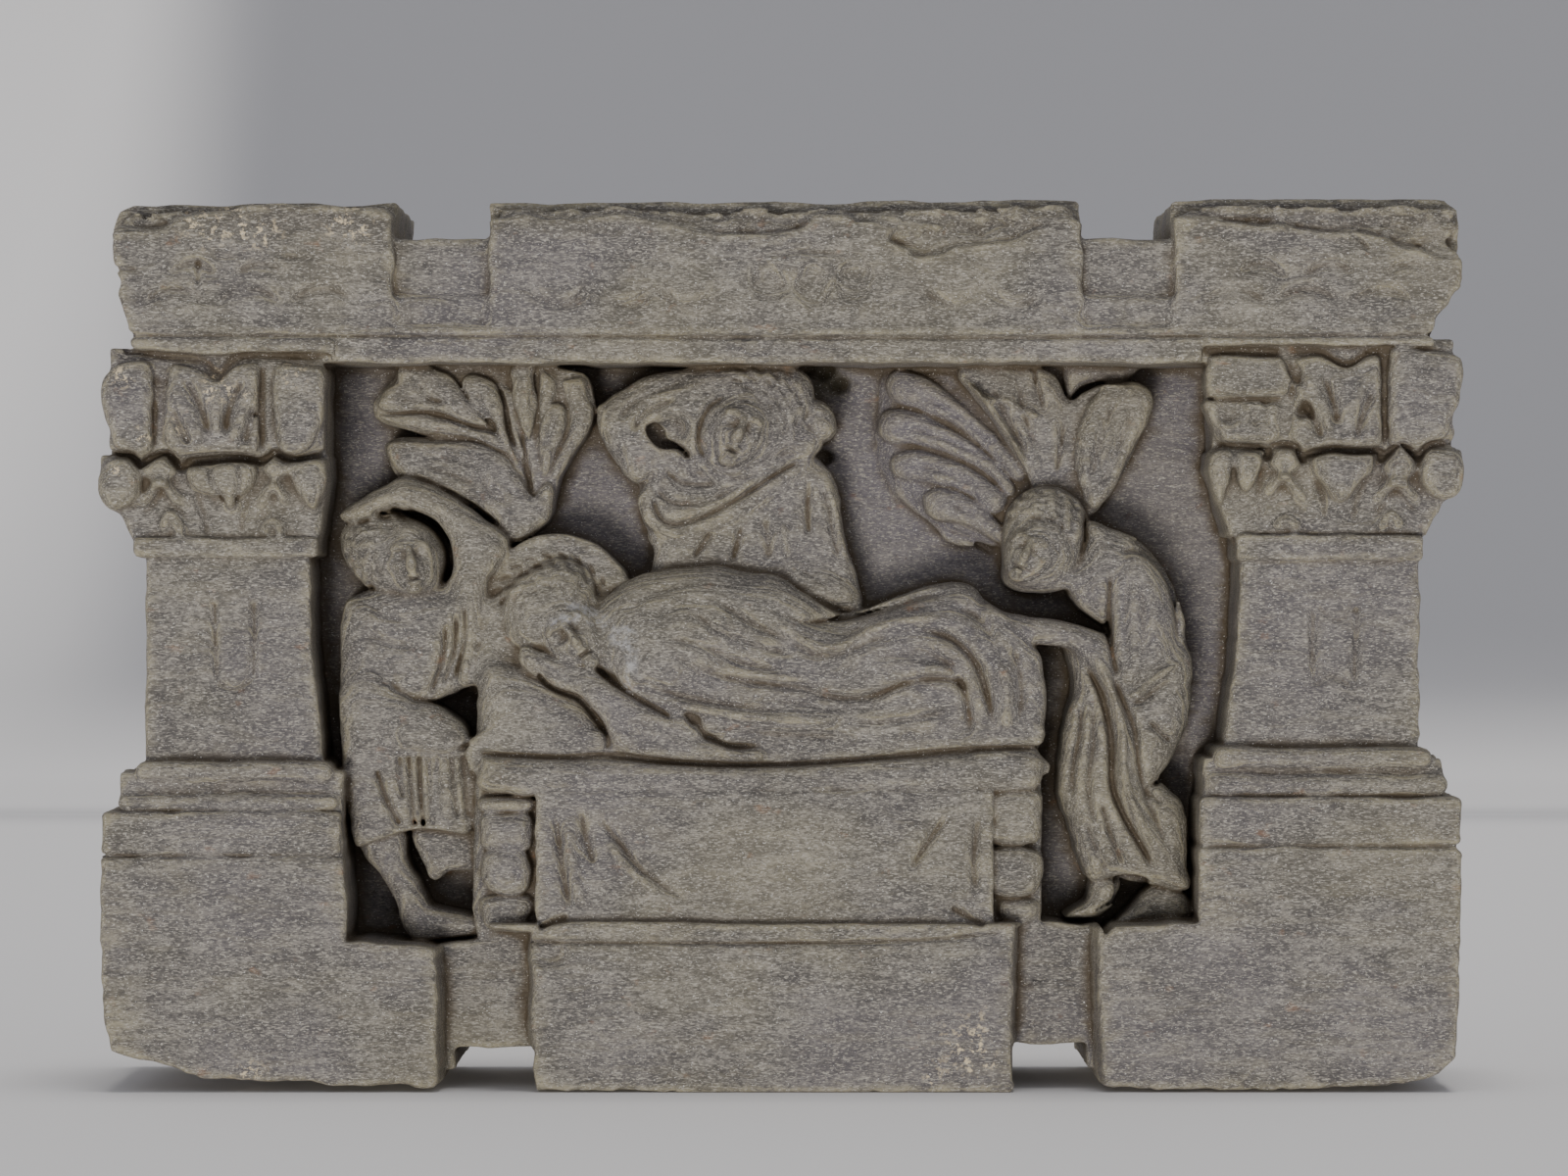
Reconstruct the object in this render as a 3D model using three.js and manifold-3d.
// A carved relief panel of grey schist: two pilasters and a beam round a deep niche, in which a figure
// lies on a couch between mourners and trees. Millimetres, +Z up, X along the panel, the carved face
// towards -Y, and the origin under the middle of the panel, where it stands on its lower edge.
import * as THREE from "three";
import { mergeVertices } from "three/addons/utils/BufferGeometryUtils.js";
import Module from "manifold-3d";

// Driving dimensions
const HALF_WIDTH = 139.7; // to the ends of the plinths and capitals
const HEIGHT = 183;
const THICK = 55;
const GROUND = 28; // how far the flat back of the niche lies behind the front plane
const BACK_FROM = 36; // behind this the slab is plain
const SHAFT_SET_BACK = 5;
const BEAM_FOOT = 149; // underside of the beam over the niche
const CRAMP_SET_BACK = 2.5; // the strips of the beam under the upper cramp cuts
const STRIP_SET_BACK = 9; // the strips over the lower cramp cuts
const PLINTH_TOP = 31;
const CRAMPS = {
  top_left: { from: -79, to: -60, edge: 174.8 },
  top_right: { from: 61.5, to: 80, edge: 174.6 },
  bottom_left: { from: -68.5, to: -50.5, edge: 8.3 },
  bottom_right: { from: 47, to: 64.5, edge: 9.3 },
};
const EYE = { x: 0.6, z: 103, distance: 1000 }; // where the carving is looked at from
const FRONT = -THICK / 2;
const ROUND = 10; // sides of a body or a head
const LIMB_ROUND = 8;

const wasm = await Module();
wasm.setup();

// A closed geometry as a solid, with its faces turned outwards.
function solid(geometry) {
  geometry.deleteAttribute("normal");
  geometry.deleteAttribute("uv");
  const merged = mergeVertices(geometry, 1e-4);
  const triVerts = new Uint32Array(merged.index.array);
  const made = new wasm.Manifold(
    new wasm.Mesh({ numProp: 3, vertProperties: merged.attributes.position.array, triVerts }),
  );
  if (made.volume() > 0) return made;
  triVerts.reverse();
  return new wasm.Manifold(
    new wasm.Mesh({ numProp: 3, vertProperties: merged.attributes.position.array, triVerts }),
  );
}

const join = (solids) => solids.reduce((all, next) => all.add(next));

// Places on the carving are given as they look from the eye, so a place that lies deep behind the
// front plane really stands further from the line of sight than it looks.
function place(x, z, depth) {
  const spread = 1 + depth / EYE.distance;
  return new THREE.Vector3(
    EYE.x + (x - EYE.x) * spread,
    FRONT + depth,
    EYE.z + (z - EYE.z) * spread,
  );
}

// An outline of [x, z] points, cut straight back from one depth to another.
function prism(outline, from, to) {
  const shape = new THREE.Shape(outline.map(([x, z]) => new THREE.Vector2(x, z)));
  const geometry = new THREE.ExtrudeGeometry(shape, { depth: to - from, bevelEnabled: false });
  return solid(geometry.rotateX(Math.PI / 2).translate(0, FRONT + to, 0));
}

const block = (x0, x1, z0, z1, from, to) =>
  prism([[x0, z0], [x1, z0], [x1, z1], [x0, z1]], from, to);

// A skin through rings of points, closed by a tip beyond each end.
function skin(rings, firstTip, lastTip) {
  const sides = rings[0].length;
  const points = [...rings.flat(), firstTip, lastTip];
  const first = rings.length * sides;
  const index = [];
  for (let i = 0; i < rings.length - 1; i++)
    for (let j = 0; j < sides; j++) {
      const a = i * sides + j;
      const b = i * sides + ((j + 1) % sides);
      index.push(a, b, a + sides, b, b + sides, a + sides);
    }
  for (let j = 0; j < sides; j++) {
    const next = (j + 1) % sides;
    index.push(first, next, j);
    index.push(first + 1, first - sides + j, first - sides + next);
  }
  const geometry = new THREE.BufferGeometry().setFromPoints(points);
  return solid(geometry.setIndex(index));
}

// A rounded limb, body or fold through stations of [x, z, half width, depth of its middle, half depth].
// The half width lies across the limb's run, and the half depth towards the eye.
function limb(stations, sides = LIMB_ROUND) {
  const middles = stations.map(([x, z, , depth]) => place(x, z, depth));
  const along = middles.map((p, i) => {
    const before = middles[Math.max(i - 1, 0)];
    const after = middles[Math.min(i + 1, middles.length - 1)];
    return after.clone().sub(before).normalize();
  });
  const rings = stations.map(([, , half, , deep], i) => {
    const across = new THREE.Vector3(-along[i].z, 0, along[i].x).normalize();
    return Array.from({ length: sides }, (_, j) => {
      const turn = (2 * Math.PI * j) / sides;
      return middles[i]
        .clone()
        .addScaledVector(across, half * Math.cos(turn))
        .add(new THREE.Vector3(0, deep * Math.sin(turn), 0));
    });
  });
  const end = stations.length - 1;
  const tip = (i, way) => middles[i].clone().addScaledVector(along[i], way * 0.6 * stations[i][2]);
  return skin(rings, tip(0, -1), tip(end, 1));
}

// An egg: half sizes along x, z and depth, turned in the plane of the panel by a tilt in degrees.
function egg(x, z, depth, halfX, halfZ, halfDepth, tilt = 0, sides = ROUND) {
  const geometry = new THREE.SphereGeometry(1, sides, Math.round(sides * 0.6));
  geometry.scale(halfX, halfDepth, halfZ).rotateY(THREE.MathUtils.degToRad(-tilt));
  const middle = place(x, z, depth);
  return solid(geometry.translate(middle.x, middle.y, middle.z));
}

// A leaf from its stalk to its tip: broadest past the middle, with a sunk midrib.
const LEAF = { share: [0, 0.3, 0.62, 0.88], width: [0.3, 0.78, 1, 0.6], rib: 1.5, lip: 0.72 };
function leaf([x0, z0], [x1, z1], halfWidth, depth, thick) {
  const root = place(x0, z0, depth);
  const tip = place(x1, z1, depth);
  const run = tip.clone().sub(root);
  const across = new THREE.Vector3(-run.z, 0, run.x).normalize();
  const section = [[-1, thick], [-LEAF.lip, 0], [0, LEAF.rib], [LEAF.lip, 0], [1, thick]];
  const rings = LEAF.share.map((share, i) =>
    section.map(([side, deep]) =>
      root
        .clone()
        .addScaledVector(run, share)
        .addScaledVector(across, side * halfWidth * LEAF.width[i])
        .add(new THREE.Vector3(0, deep, 0)),
    ),
  );
  const sunk = (point, share) => point.clone().add(new THREE.Vector3(0, share * thick, 0));
  return skin(rings, sunk(root, 1), sunk(tip, 0.6));
}

// A long round ledge between two x, as on a moulding or a mattress edge.
function roll(x0, x1, z, half, depth) {
  const geometry = new THREE.CylinderGeometry(half, half, x1 - x0, ROUND);
  geometry.rotateZ(Math.PI / 2);
  return solid(geometry.translate((x0 + x1) / 2, FRONT + depth, z));
}

// Slab: full width behind the plinths and the beam, narrower and plain behind the pilasters
const leftFoot = [
  [-138.4, 48], [-136.3, 8.5], [-131, 6.5], [-122, 3.5], [-105, 2], [-88, 1], [-71, 0.9], [-69.4, 4],
  [-69.4, 44],
];
const rightFoot = [
  [64.8, 44], [64.6, 3], [66, 1.2], [96, 0.3], [120, 1], [135.5, 4], [137.3, 8], [138.4, 49],
];
const brokenTop = [
  [136, 152.5], [134, 158], [136.5, 162], [139.3, 166], [139.5, 176], [138, HEIGHT],
  [-132, 181.7], [-137, 179.5], [-136.5, 170], [-135, 164.5], [-134.5, 158], [-132.5, 152.5],
];
const slab = () =>
  join([
    prism(leftFoot, 0, THICK),
    prism(rightFoot, 0, THICK),
    block(-70, 66, 4, 34, STRIP_SET_BACK, THICK), // between the plinths and the block under the couch
    prism([...brokenTop, [-131, BEAM_FOOT], [131, BEAM_FOOT]], 0, THICK),
    block(-130.5, 130.5, 20, 160, GROUND, THICK),
    block(-50.5, 47.5, 0, 30.4, 0, THICK),
  ]);

// Pilaster: bands from the plinth up, each with its lower and upper z, its outer and inner reach
// and how far its face stands behind the front plane
const LEFT = {
  side: -1,
  shaft: { outer: 130.4, inner: 96.6, foot: 93.6, from: 67, to: 111 },
  bands: [
    { from: PLINTH_TOP - 3, to: 48, outer: 138.5, inner: 88.6, back: 0 },
    { from: 48.6, to: 57.2, outer: 138.8, inner: 89.6, back: 0 },
    { from: 60.5, to: 64, outer: 134.5, inner: 91.4, back: 3 },
    { from: 109.3, to: 113, outer: 132.6, inner: 94.8, back: 3.5 },
  ],
  rolls: [
    { z: 59, half: 1.8, outer: 135.6, inner: 90.2 },
    { z: 65.6, half: 2, outer: 132.3, inner: 91.6 },
  ],
  bell: { from: 113, to: 130, foot: [133, 95], head: [HALF_WIDTH, 92.8] },
  upper: { from: 131.5, to: 149.5 },
};
const RIGHT = {
  side: 1,
  shaft: { outer: 131, inner: 94.5, foot: 90.6, from: 70, to: 110 },
  bands: [
    { from: PLINTH_TOP - 3, to: 50, outer: 138.6, inner: 85.4, back: 0 },
    { from: 50.6, to: 60.2, outer: 138.9, inner: 85.6, back: 0 },
    { from: 64, to: 66.4, outer: 133.6, inner: 87.6, back: 3 },
    { from: 108.5, to: 113.6, outer: 131.6, inner: 93.6, back: 3.5 },
  ],
  rolls: [
    { z: 62.7, half: 2.3, outer: 136.2, inner: 86.4 },
    { z: 68.4, half: 2.1, outer: 133.3, inner: 88.4 },
  ],
  bell: { from: 114.5, to: 131, foot: [132.6, 91.5], head: [HALF_WIDTH, 87.6] },
  upper: { from: 132.5, to: 151.5 },
};
const BELL_LEAVES = [-1, -0.5, 0, 0.5, 1]; // where they stand, as shares of the bell's half width

// The capital's flaring bell, wider and further forward at its head.
function bell({ side, bell: { from, to, foot, head } }) {
  const ring = ([outer, inner], z, back) =>
    [[outer, back], [inner, back], [inner, BACK_FROM], [outer, BACK_FROM]].map(
      ([x, depth]) => new THREE.Vector3(side * x, FRONT + depth, z),
    );
  const rings = [ring(foot, from, 5), ring(head, to - 4, 1.6), ring(head, to, 1.6)];
  const middle = (side * (foot[0] + foot[1])) / 2;
  return skin(
    rings,
    new THREE.Vector3(middle, 0, from - 0.4),
    new THREE.Vector3(middle, 0, to + 0.4),
  );
}

function pilaster(spec) {
  const { side, shaft, bands, rolls, upper } = spec;
  const { head, from, to } = spec.bell;
  const span = (outer, inner) => [side * outer, side * inner].sort((a, b) => a - b);
  const middle = (side * (head[0] + head[1])) / 2;
  const half = (head[0] - head[1]) / 2;
  const solids = bands.map((band) =>
    block(...span(band.outer, band.inner), band.from, band.to, band.back, BACK_FROM),
  );
  rolls.forEach((r) => solids.push(roll(...span(r.outer, r.inner), r.z, r.half, 1 + r.half)));
  rolls.forEach((r) =>
    solids.push(
      block(...span(r.outer - 0.7, r.inner + 0.7), r.z - 1.6, r.z + 1.6, 1 + r.half, BACK_FROM),
    ),
  );
  const sides = [
    [shaft.outer, shaft.from], [shaft.foot, shaft.from], [shaft.inner, shaft.to], [shaft.outer, shaft.to],
  ];
  solids.push(prism(sides.map(([x, z]) => [side * x, z]), SHAFT_SET_BACK, BACK_FROM));
  solids.push(block(...span(shaft.outer, shaft.foot), 40, shaft.from + 1, SHAFT_SET_BACK, BACK_FROM));
  solids.push(bell(spec));
  // Lower leaves lean on the bell, and their heads roll over as round lobes
  BELL_LEAVES.forEach((share) => {
    const x = middle + share * (half - 4.5);
    const stalk = middle + share * (half - 8);
    solids.push(leaf([stalk, from + 0.5], [x, to + 1], 4.6, 2.2, 5));
    solids.push(egg(x, to - 3.4, 2.8, 4.2, 3.2, 2.7, 0, 6));
  });
  // Upper tier: a leaf that spreads as a V between two corner blocks, on a core set further back
  const tier = [upper.from, upper.to];
  solids.push(block(...span(head[0] - 3, head[1] + 2), upper.from - 2, upper.to + 2, 5, BACK_FROM));
  solids.push(block(...span(head[0] - 0.9, head[0] - 11), ...tier, 1, BACK_FROM));
  solids.push(block(...span(head[1] + 13, head[1] + 0.4), upper.from + 8, upper.to, 1, BACK_FROM));
  solids.push(egg(side * (head[1] + 6), upper.from + 6, 7, 6, 6.5, 6));
  [-1, 1].forEach((way) =>
    solids.push(leaf([middle + way * 2, upper.from], [middle + way * 8, upper.to + 1], 5, 0.6, 5)),
  );
  return join(solids);
}

// Couch: mattress, cloth that hangs in front, and turned legs
const COUCH = { left: -61, right: 53.2, seat: 69, underside: 61, cloth: [-50.2, 43.6], front: 3 };
function couch() {
  const { left, right, seat, underside, cloth, front } = COUCH;
  // Legs: a squared post with turned rings and balls standing out of it, by z, half width and half height
  const legs = [
    { x: -56, turned: [[58.5, 4.9, 1.9], [53, 5.2, 4], [45, 5.2, 5], [37, 4.6, 3.4]] },
    { x: 48.2, turned: [[56.5, 5, 6], [45, 5.3, 5.6], [37.3, 4.4, 2.6]] },
  ];
  const post = { half: 4.1, foot: 33.6, depth: 7.5 };
  const solids = [
    block(left, right, underside, seat, 2.6, GROUND + 2),
    roll(left + 1, right - 1, seat - 4.2, 4.2, 4.4),
    block(...cloth, PLINTH_TOP - 2, underside + 1, front, GROUND + 2),
    block(left + 1, right - 1, 33, underside + 1, 10, GROUND + 2),
  ];
  legs.forEach(({ x, turned }) => {
    solids.push(block(x - post.half, x + post.half, post.foot, underside + 0.5, post.depth, GROUND + 2));
    turned.forEach(([z, halfX, halfZ]) =>
      solids.push(egg(x, z, 9.5, halfX, halfZ * 1.1, 5.5, 0, LIMB_ROUND)),
    );
  });
  solids.push(limb([[-60, 75, 7, 14, 10], [-49, 76, 7.6, 14, 11.5], [-39, 73, 4, 14, 9]])); // pillow
  return join(solids);
}

// The figure on the couch: body under one long robe, arm folded under the cheek, haloed head
function sleeper() {
  return join([
    limb(
      [
        [-32, 88, 15, 20, 15], [-20, 88, 19, 22, 18.5], [-7, 87.5, 19.5, 22, 18.5], [5, 85, 17, 22, 17.5],
        [14, 82.5, 14.2, 22, 17], [25, 85, 16, 22, 17], [36, 87, 17, 22, 16.5], [44, 84.5, 14, 22, 16],
        [50, 81.5, 10.5, 22, 16.5],
      ],
      ROUND,
    ),
    prism([[36, 70.5], [52, 70.5], [53.2, 76], [53.2, 87], [50, 92], [40, 92]], 7, GROUND + 1),
    limb([[-22, 98, 8, 11, 8], [-12, 95, 8, 10, 8], [2, 90, 6.5, 10, 7], [16, 90, 5, 10, 6.5]]),
    limb([[-4, 70.5, 3, 8, 5.5], [-20, 73, 4.4, 8, 5.5], [-35, 77.5, 5, 7.5, 5.5], [-50, 87, 3.6, 8, 5]]),
    egg(-45.5, 97.8, 26, 16.2, 16.2, 10, 0, 16),
    egg(-45.8, 96.5, 15, 10.6, 11.6, 12, 20),
    egg(-50, 102, 12, 8, 5, 7, 35), // dressed hair
    limb([[-40, 88, 5.5, 18, 9], [-31, 88, 9, 18, 12]]),
  ]);
}

// The mourner at the left: seated, one arm thrown over the head, the other laid on the lap
function leftMourner() {
  return join([
    egg(-79, 110.5, 16, 10.8, 8.8, 10, -10),
    limb(
      [[-78, 104, 8.5, 18, 8], [-79, 95, 10.5, 18, 10], [-78, 85, 9.5, 18, 10], [-77, 76, 10.5, 18, 10]],
      ROUND,
    ),
    limb([[-66, 86, 4.4, 17, 7], [-62.5, 97, 4.6, 15, 7], [-61.5, 109, 4.8, 14, 7]]),
    limb([
      [-61.5, 110, 4.8, 14, 7], [-68, 118, 4.6, 14, 7], [-78, 120.5, 4.4, 14, 7], [-88, 117, 3.6, 15, 6],
    ]),
    limb([[-89, 86, 3.4, 14, 5], [-80, 81, 3.6, 12, 5], [-72, 76.5, 3.4, 12, 5]]),
    limb([[-86, 74, 5.6, 15, 8], [-76, 74.5, 5.6, 14, 8], [-66, 74.5, 5, 14, 8]]),
    limb([[-77, 73, 12, 17, 9], [-76.5, 64, 13, 17, 9], [-75.5, 54, 12, 17, 9]], ROUND),
    limb([[-80, 54, 4.2, 16, 5.5], [-77.5, 45, 3.9, 17, 5.5], [-74, 37, 3.5, 17, 5.5]]),
    limb([[-75, 35.5, 3.1, 17, 5.5], [-68, 34.6, 2.5, 17, 5], [-62, 34.6, 1.8, 17, 4.5]]),
    egg(-69, 50, 18, 5.6, 6, 6),
    ...[-80, -76, -72, -68].map((x) => limb([[x, 68, 1.5, 9.5, 2], [x + 0.6, 55, 1.8, 9.5, 2]], 6)),
  ]);
}

// The mourner behind the couch: both arms raised, hands on the tilted head
function middleMourner() {
  return join([
    egg(-7.5, 136, 18, 10.5, 9.6, 10, 25),
    limb([[-9, 129, 13, 24, 9], [-8, 119, 19.5, 24, 10.5], [-5.9, 106, 21, 25, 10]], ROUND),
    limb([[-22, 121, 5.6, 19, 7], [-29.5, 129, 4.9, 18, 7], [-34.5, 137, 4, 18, 7]]),
    limb([
      [-34.5, 138.5, 3.8, 18, 7], [-24, 143.6, 3.8, 17, 7], [-11, 145.8, 3.6, 17, 7], [2, 144.3, 3.2, 18, 6],
    ]),
    limb([[10.5, 112, 3.6, 21, 6], [8, 122, 3.4, 20, 6], [5, 131, 3.4, 20, 6]]),
    egg(5, 133.5, 19, 4.6, 4.4, 6, 0, LIMB_ROUND),
    egg(8.6, 137, 19, 3.9, 3.8, 6, 0, LIMB_ROUND),
    egg(-18, 121, 17, 8, 4.4, 6, -10),
    limb([[1, 104, 5, 24, 6], [10, 104, 5, 24, 6], [15, 102, 3, 24, 5]]),
  ]);
}

// The robed figure that bends over the feet at the right
function rightMourner() {
  return join([
    egg(54.2, 115, 15, 9, 9.8, 11.5, 30),
    limb([[58, 111, 5, 17, 8], [66, 108, 7.4, 18, 10], [72, 103, 9.6, 18, 11]]),
    limb(
      [
        [71, 106, 8.6, 19, 10.5], [72, 97, 10.8, 19, 11.5], [71.8, 86, 12.4, 19, 11.5],
        [69.4, 73, 12.3, 19, 11.5], [68.8, 61, 10.8, 19, 11.5], [72, 50, 11.6, 19, 11],
        [73.8, 43.5, 10.6, 19, 10],
      ],
      ROUND,
    ),
    limb([[73, 109, 5.6, 12, 7], [73.2, 98, 6.4, 11, 7.5], [72, 86, 5, 11, 7]]),
    limb([[72, 86, 4, 13, 6], [60, 90.5, 3.4, 14, 6], [47, 94.6, 3.2, 14, 6]]),
    limb([[64, 85, 4, 10, 4], [63.5, 72, 4.4, 9.5, 4], [63.5, 60, 4, 10, 4], [66, 47, 3.4, 11, 4]], 6),
    limb([[71, 84, 3, 10, 3.6], [70, 70, 3, 9, 3.6], [73, 56, 3, 10, 3.6], [77, 45, 2.6, 11, 3.6]], 6),
    limb([[70, 39.5, 2.6, 17, 6], [62, 38.6, 2.4, 16, 6], [57.5, 38, 1.8, 16, 5]]),
    limb([[82, 38.5, 3, 18, 7], [74, 38.5, 3, 18, 7], [70.5, 38.5, 2, 18, 6]]),
  ]);
}

// Trees: fans of broad leaves on a stalk, each leaf with [tip x, tip z, half width, depth of its face]
const LEFT_TREE = {
  stalk: [-51.5, 119],
  leaves: [
    [-81, 129.6, 5, 15], [-83.5, 140.5, 6.6, 13], [-71, 146.5, 6, 13], [-58.5, 147, 3.6, 14],
    [-52.6, 150, 3.1, 13], [-46.5, 148, 2.8, 14], [-42, 146.5, 3.2, 14], [-39.5, 138.5, 2.8, 16],
  ],
};
const RIGHT_TREE = {
  stalk: [61, 121],
  leaves: [
    [22, 146, 5, 23], [20.5, 137.5, 4.6, 22], [24, 127, 4.2, 23], [33, 120, 3.4, 24], [35, 147.5, 5.6, 20],
    [45, 151.5, 6.2, 13], [54.5, 149.5, 4, 14], [58.8, 141, 2, 12], [76, 150, 5.6, 17],
    [75.5, 140.5, 5.2, 12],
  ],
};
function tree({ stalk, leaves }) {
  const solids = leaves.map(([x, z, half, depth]) => leaf(stalk, [x, z], half, depth, GROUND + 4 - depth));
  solids.push(limb([[...stalk, 3.4, 21, 8], [stalk[0] + 1, stalk[1] - 9, 2.6, 23, 7]], 6));
  solids.push(egg(...stalk, 24, 3.6, 3, 9, 0, LIMB_ROUND)); // where the leaves meet
  return join(solids);
}

// Frieze on the beam: worn half rosette of three hanging petals
function rosette() {
  const petals = [[-2.6, 165.6, 20], [6.4, 164.6, 0], [15, 165.4, -20]];
  return join(petals.map(([x, z, tilt]) => egg(x, z, 0.9, 3.6, 4.4, 1.2, tilt, LIMB_ROUND)));
}

// What is cut away: cramp cuts, the sunk strips under the upper two, and the groove of the beam
function cuts() {
  const { top_left: tl, top_right: tr, bottom_left: bl, bottom_right: br } = CRAMPS;
  const over = 1; // how far a cut runs past the stone
  const groove = { from: 153.6, to: 154.8, deep: 1.2 };
  return join([
    block(tl.from, tl.to, tl.edge, HEIGHT + over, -over, THICK + over),
    block(tr.from, tr.to, tr.edge, HEIGHT + over, -over, THICK + over),
    block(bl.from + 1.4, bl.to, -over, bl.edge, -over, THICK + over),
    block(br.from + 0.6, br.to - 1.6, -over, br.edge, -over, THICK + over),
    block(tl.from, tl.to, 155, tl.edge + over, -over, CRAMP_SET_BACK),
    block(tr.from, tr.to, 155, tr.edge + over, -over, CRAMP_SET_BACK),
    block(-92, 87, BEAM_FOOT - over, groove.from, -over, 1.4),
    block(-HALF_WIDTH - over, HALF_WIDTH + over, groove.from, groove.to, -over, groove.deep),
  ]);
}

// The niche over the plinths at either side of the couch, cut back to its ground
const niche = () =>
  join([
    prism([[-88.4, PLINTH_TOP], [-69.6, 29.6], [-60, 30], [-60, 70], [-88.6, 70]], -1, GROUND),
    prism([[45, 35], [84.8, 35.4], [85.2, 70], [45, 70]], -1, GROUND),
  ]);

// Strokes cut as a V: the panel on each shaft and the folds of the couch cloth
const SHAFT_PANELS = [
  [[-115.6, 100], [-115, 84], [-111.5, 82.6]],
  [[-107.4, 101], [-107.4, 85], [-111, 82.6]],
  [[108.4, 99], [108.6, 84], [112, 85.4]],
  [[117.4, 99], [116.8, 84], [113, 85.4]],
];
const COUCH_FOLDS = [
  [[-46, 56], [-44.5, 47], [-43, 37]],
  [[-41, 58], [-38, 46]],
  [[-38, 57], [-33, 51], [-28, 45], [-20, 39.5]],
  [[42, 58], [42, 41]],
  [[34, 57], [26, 45]],
];
const STROKE = { half: 0.7, deep: 1.1, sides: 4 };
function strokes() {
  const cut = (lines, depth) =>
    lines.map((line) =>
      limb(line.map(([x, z]) => [x, z, STROKE.half, depth, STROKE.deep]), STROKE.sides),
    );
  return join([...cut(SHAFT_PANELS, SHAFT_SET_BACK), ...cut(COUCH_FOLDS, COUCH.front)]);
}

function panel() {
  const frame = join([slab(), pilaster(LEFT), pilaster(RIGHT)]).subtract(niche()).subtract(cuts());
  const carving = join([
    couch(), sleeper(), leftMourner(), middleMourner(), rightMourner(), tree(LEFT_TREE), tree(RIGHT_TREE),
    rosette(),
  ]);
  // Nothing stands in front of the front plane, behind the back or beyond the frame
  const within = block(-HALF_WIDTH, HALF_WIDTH, 0, HEIGHT, 0, THICK);
  return frame.add(carving).subtract(strokes()).intersect(within);
}

// Joins leave a few triangles that are thinner than any chisel mark. Such a triangle's far corner
// lies on its long edge, so the edge is turned to run from that corner to the neighbour's.
const THINNEST = 0.02;
function turnThinEdges(points, corners) {
  const at = (i) => new THREE.Vector3().fromArray(points, 3 * i);
  const height = (a, b, c) => {
    const sides = [[a, b], [b, c], [c, a]].map(([p, q]) => at(p).distanceTo(at(q)));
    return (2 * new THREE.Triangle(at(a), at(b), at(c)).getArea()) / Math.max(...sides);
  };
  const owner = new Map(); // from a directed edge to its triangle's first corner
  const key = (a, b) => a + "," + b;
  const own = (t) =>
    [0, 1, 2].forEach((k) => owner.set(key(corners[t + k], corners[t + ((k + 1) % 3)]), t));
  for (let t = 0; t < corners.length; t += 3) own(t);
  for (let t = 0; t < corners.length; t += 3) {
    const [a, b, c] = [0, 1, 2]
      .map((k) => [0, 1, 2].map((j) => corners[t + ((k + j) % 3)]))
      .reduce((x, y) => (at(y[0]).distanceTo(at(y[1])) > at(x[0]).distanceTo(at(x[1])) ? y : x));
    const thin = height(a, b, c);
    if (thin > THINNEST) continue;
    const other = owner.get(key(b, a));
    const d = corners.slice(other, other + 3).find((corner) => corner !== a && corner !== b);
    if (owner.has(key(c, d)) || owner.has(key(d, c))) continue;
    if (Math.min(height(a, d, c), height(d, b, c)) <= thin) continue;
    owner.delete(key(a, b));
    owner.delete(key(b, a));
    corners.splice(t, 3, a, d, c);
    corners.splice(other, 3, d, b, c);
    own(t);
    own(other);
  }
  return corners;
}

// A solid as a geometry: points closer than the weld are made one, and the triangles that this
// closes up are dropped.
const WELD = 0.03;
const PASSES = 3;
function geometryOf(made) {
  const mesh = made.getMesh();
  const cut = new THREE.BufferGeometry();
  cut.setAttribute("position", new THREE.BufferAttribute(mesh.vertProperties, mesh.numProp));
  cut.setIndex(new THREE.BufferAttribute(mesh.triVerts, 1));
  const geometry = mergeVertices(cut, WELD);
  const all = geometry.index.array;
  let corners = [];
  for (let i = 0; i < all.length; i += 3) {
    const [a, b, c] = all.slice(i, i + 3);
    if (a !== b && b !== c && c !== a) corners.push(a, b, c);
  }
  for (let pass = 0; pass < PASSES; pass++)
    corners = turnThinEdges(geometry.attributes.position.array, corners);
  geometry.setIndex(corners);
  geometry.computeVertexNormals();
  return geometry;
}

const schist = new THREE.MeshStandardMaterial({ color: 0x76716a, roughness: 0.85, metalness: 0 });
const relief = new THREE.Mesh(geometryOf(panel()), schist);
relief.name = "relief_panel";

const group = new THREE.Group();
group.add(relief);
export default group;
